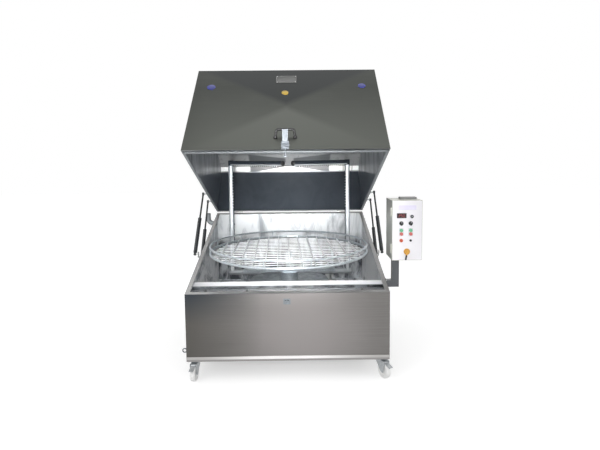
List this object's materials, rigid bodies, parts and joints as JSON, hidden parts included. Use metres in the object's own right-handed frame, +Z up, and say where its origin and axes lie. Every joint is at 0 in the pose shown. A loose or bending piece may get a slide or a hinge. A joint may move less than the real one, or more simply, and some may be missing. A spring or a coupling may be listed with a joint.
{
  "type": "parts washer tank",
  "caption": "Top-loading parts washer: wheeled steel tank, clamshell lid open on gas struts, round turntable basket, spray pipes, and a control box on a side arm.",
  "frame": {"origin": "bottom centre of the whole model's box, on the floor, lid open", "axes": "+X to the right seen from the front, +Y to the rear, +Z up"},
  "size_m": [1.617, 1.581, 2.0704],
  "materials": {
    "black_plastic": "matte",
    "black_steel": "satin black",
    "box_grey": "light grey powder coat",
    "green_plastic": "gloss",
    "lever_red": "dipped",
    "motor_grey": "grey enamel",
    "panel_plastic": "gloss",
    "pipe_steel": "polished stainless steel",
    "red_plastic": "gloss",
    "seal_rubber": "matte",
    "steel_sheet": "brushed stainless steel",
    "wheel_grey": "light grey polyamide",
    "zinc": "bright zinc plated"
  },
  "bodies": {
    "tank": {"tank_shell": "steel_sheet", "tank_frame": "steel_sheet", "front_shelf": "steel_sheet", "shelf_knobs": "black_plastic", "pedestal": "steel_sheet", "gearmotor": "motor_grey", "spray_pipe_left": "pipe_steel", "spray_pipe_right": "pipe_steel", "feed_pipe": "pipe_steel", "pump": "motor_grey", "pump_bracket": "zinc", "heater": "pipe_steel", "tank_hinges": "steel_sheet", "strut_brackets": "steel_sheet", "latch_keeper": "zinc", "lifting_eye": "zinc", "vent_elbow": "steel_sheet", "drain_valve": "pipe_steel", "box_arm": "black_steel", "control_box": "box_grey", "caster_plates": "zinc"},
    "lid": {"lid_shell": "steel_sheet", "lid_seal": "seal_rubber", "lid_hinges": "steel_sheet", "lid_studs": "zinc", "bow_handle": "black_plastic", "latch_base": "zinc"},
    "latch_lever": {"latch_lever": "zinc"},
    "latch_hook": {"latch_hook": "zinc"},
    "drain_lever": {"drain_lever": "lever_red"},
    "basket": {"basket_rings": "zinc", "basket_grid": "zinc", "basket_carrier": "zinc"},
    "control_door": {"control_door": "box_grey", "door_fittings": "panel_plastic"},
    "main_switch": {"main_switch": "black_plastic"},
    "gas_cylinder_front_left": {"gas_cylinder_front_left": "black_steel"},
    "gas_rod_front_left": {"gas_rod_front_left": "black_steel"},
    "gas_cylinder_front_right": {"gas_cylinder_front_right": "black_steel"},
    "gas_rod_front_right": {"gas_rod_front_right": "black_steel"},
    "gas_cylinder_rear_left": {"gas_cylinder_rear_left": "black_steel"},
    "gas_rod_rear_left": {"gas_rod_rear_left": "black_steel"},
    "gas_cylinder_rear_right": {"gas_cylinder_rear_right": "black_steel"},
    "gas_rod_rear_right": {"gas_rod_rear_right": "black_steel"},
    "fork_front_left": {"fork_front_left": "zinc"},
    "wheel_front_left": {"wheel_front_left": "wheel_grey"},
    "pedal_front_left": {"pedal_front_left": "zinc"},
    "fork_front_right": {"fork_front_right": "zinc"},
    "wheel_front_right": {"wheel_front_right": "wheel_grey"},
    "pedal_front_right": {"pedal_front_right": "zinc"},
    "fork_rear_left": {"fork_rear_left": "zinc"},
    "wheel_rear_left": {"wheel_rear_left": "wheel_grey"},
    "fork_rear_right": {"fork_rear_right": "zinc"},
    "wheel_rear_right": {"wheel_rear_right": "wheel_grey"},
    "selector_left": {"selector_left": "black_plastic"},
    "green_button_left": {"green_button_left": "green_plastic"},
    "red_button_left": {"red_button_left": "red_plastic"},
    "selector_right": {"selector_right": "black_plastic"},
    "green_button_right": {"green_button_right": "green_plastic"},
    "red_button_right": {"red_button_right": "red_plastic"}
  },
  "joints": [
    {"name": "lid_hinge", "type": "hinge", "parent": "tank", "child": "lid", "pos_m": [-0.0835, 0.52072, 0.937], "axis": [1, 0, 0], "range_deg": [0, 40], "stiffness_Nm_per_rad": 1600, "springref_deg": -21.14},
    {"name": "cylinder_front_left_pivot", "type": "hinge", "parent": "tank", "child": "gas_cylinder_front_left", "pos_m": [-0.7735, -0.23128, 0.72], "axis": [1, 0, 0], "range_deg": [-31.16, 0.5]},
    {"name": "rod_front_left_slide", "type": "slide", "parent": "gas_cylinder_front_left", "child": "gas_rod_front_left", "axis": [0, 0.6447, 0.7644], "range_m": [-0.20846, 0.001]},
    {"name": "cylinder_front_right_pivot", "type": "hinge", "parent": "tank", "child": "gas_cylinder_front_right", "pos_m": [0.6065, -0.23128, 0.72], "axis": [1, 0, 0], "range_deg": [-31.16, 0.5]},
    {"name": "rod_front_right_slide", "type": "slide", "parent": "gas_cylinder_front_right", "child": "gas_rod_front_right", "axis": [0, 0.6447, 0.7644], "range_m": [-0.20846, 0.001]},
    {"name": "cylinder_rear_left_pivot", "type": "hinge", "parent": "tank", "child": "gas_cylinder_rear_left", "pos_m": [-0.7735, -0.03129, 0.588], "axis": [1, 0, 0], "range_deg": [-10.64, 0.5]},
    {"name": "rod_rear_left_slide", "type": "slide", "parent": "gas_cylinder_rear_left", "child": "gas_rod_rear_left", "axis": [0, 0.5852, 0.8109], "range_m": [-0.14363, 0.001]},
    {"name": "cylinder_rear_right_pivot", "type": "hinge", "parent": "tank", "child": "gas_cylinder_rear_right", "pos_m": [0.6065, -0.03129, 0.588], "axis": [1, 0, 0], "range_deg": [-10.64, 0.5]},
    {"name": "rod_rear_right_slide", "type": "slide", "parent": "gas_cylinder_rear_right", "child": "gas_rod_rear_right", "axis": [0, 0.5852, 0.8109], "range_m": [-0.14363, 0.001]},
    {"name": "latch_lever_pivot", "type": "hinge", "parent": "lid", "child": "latch_lever", "pos_m": [-0.0875, -0.67589, 1.51866], "axis": [1, 0, 0], "range_deg": [-34, 70]},
    {"name": "latch_hook_pivot", "type": "hinge", "parent": "lid", "child": "latch_hook", "pos_m": [-0.0875, -0.703, 1.48918], "axis": [1, 0, 0], "range_deg": [-30, 11]},
    {"name": "drain_lever_turn", "type": "hinge", "parent": "tank", "child": "drain_lever", "pos_m": [0.6215, 0.21871, 0.389], "axis": [0, 0, -1], "range_deg": [0, 90]},
    {"name": "basket_turn", "type": "hinge", "parent": "tank", "child": "basket", "pos_m": [-0.0835, -0.11528, 0.553], "axis": [0, 0, 1], "continuous": true},
    {"name": "swivel_front_left", "type": "hinge", "parent": "tank", "child": "fork_front_left", "pos_m": [-0.6835, -0.68129, 0.108], "axis": [0, 0, 1], "continuous": true},
    {"name": "roll_front_left", "type": "hinge", "parent": "fork_front_left", "child": "wheel_front_left", "pos_m": [-0.68768, -0.72107, 0.05], "axis": [0.9945, -0.1045, 0], "continuous": true},
    {"name": "brake_front_left", "type": "hinge", "parent": "fork_front_left", "child": "pedal_front_left", "pos_m": [-0.68956, -0.73897, 0.105], "axis": [0.9945, -0.1045, 0], "range_deg": [0, 18]},
    {"name": "swivel_front_right", "type": "hinge", "parent": "tank", "child": "fork_front_right", "pos_m": [0.5165, -0.68129, 0.108], "axis": [0, 0, 1], "continuous": true},
    {"name": "roll_front_right", "type": "hinge", "parent": "fork_front_right", "child": "wheel_front_right", "pos_m": [0.53528, -0.7166, 0.05], "axis": [0.8829, 0.4695, 0], "continuous": true},
    {"name": "brake_front_right", "type": "hinge", "parent": "fork_front_right", "child": "pedal_front_right", "pos_m": [0.54373, -0.7325, 0.105], "axis": [0.8829, 0.4695, 0], "range_deg": [0, 18]},
    {"name": "swivel_rear_left", "type": "hinge", "parent": "tank", "child": "fork_rear_left", "pos_m": [-0.6835, 0.45871, 0.108], "axis": [0, 0, 1], "continuous": true},
    {"name": "roll_rear_left", "type": "hinge", "parent": "fork_rear_left", "child": "wheel_rear_left", "pos_m": [-0.67315, 0.49735, 0.05], "axis": [-0.9659, 0.2588, 0], "continuous": true},
    {"name": "swivel_rear_right", "type": "hinge", "parent": "tank", "child": "fork_rear_right", "pos_m": [0.5165, 0.45871, 0.108], "axis": [0, 0, 1], "continuous": true},
    {"name": "roll_rear_right", "type": "hinge", "parent": "fork_rear_right", "child": "wheel_rear_right", "pos_m": [0.50282, 0.4963, 0.05], "axis": [-0.9397, -0.342, 0], "continuous": true},
    {"name": "control_door_hinge", "type": "hinge", "parent": "tank", "child": "control_door", "pos_m": [0.6032, -0.56698, 0.935], "axis": [0, 0, -1], "range_deg": [0, 82]},
    {"name": "main_switch_turn", "type": "hinge", "parent": "control_door", "child": "main_switch", "pos_m": [0.7065, -0.58459, 0.794], "axis": [0, 1, 0], "range_deg": [0, 90]},
    {"name": "selector_left_turn", "type": "hinge", "parent": "control_door", "child": "selector_left", "pos_m": [0.6685, -0.58159, 0.983], "axis": [0, 1, 0], "range_deg": [-45, 45]},
    {"name": "green_left_press", "type": "slide", "parent": "control_door", "child": "green_button_left", "axis": [0, 1, 0], "range_m": [0, 0.003], "stiffness_N_per_m": 400, "springref_m": -0.001},
    {"name": "red_left_press", "type": "slide", "parent": "control_door", "child": "red_button_left", "axis": [0, 1, 0], "range_m": [0, 0.003], "stiffness_N_per_m": 400, "springref_m": -0.001},
    {"name": "selector_right_turn", "type": "hinge", "parent": "control_door", "child": "selector_right", "pos_m": [0.7305, -0.58159, 0.983], "axis": [0, 1, 0], "range_deg": [-45, 45]},
    {"name": "green_right_press", "type": "slide", "parent": "control_door", "child": "green_button_right", "axis": [0, 1, 0], "range_m": [0, 0.003], "stiffness_N_per_m": 400, "springref_m": -0.001},
    {"name": "red_right_press", "type": "slide", "parent": "control_door", "child": "red_button_right", "axis": [0, 1, 0], "range_m": [0, 0.003], "stiffness_N_per_m": 400, "springref_m": -0.001}
  ],
  "couplings": [
    {"joint": "cylinder_front_left_pivot", "follows": "lid_hinge", "ratio": -0.76657},
    {"joint": "rod_front_left_slide", "follows": "lid_hinge", "m_per_rad": -0.29717},
    {"joint": "cylinder_front_right_pivot", "follows": "lid_hinge", "ratio": -0.76657},
    {"joint": "rod_front_right_slide", "follows": "lid_hinge", "m_per_rad": -0.29717},
    {"joint": "cylinder_rear_left_pivot", "follows": "lid_hinge", "ratio": -0.2536},
    {"joint": "rod_rear_left_slide", "follows": "lid_hinge", "m_per_rad": -0.2043},
    {"joint": "cylinder_rear_right_pivot", "follows": "lid_hinge", "ratio": -0.2536},
    {"joint": "rod_rear_right_slide", "follows": "lid_hinge", "m_per_rad": -0.2043}
  ]
}
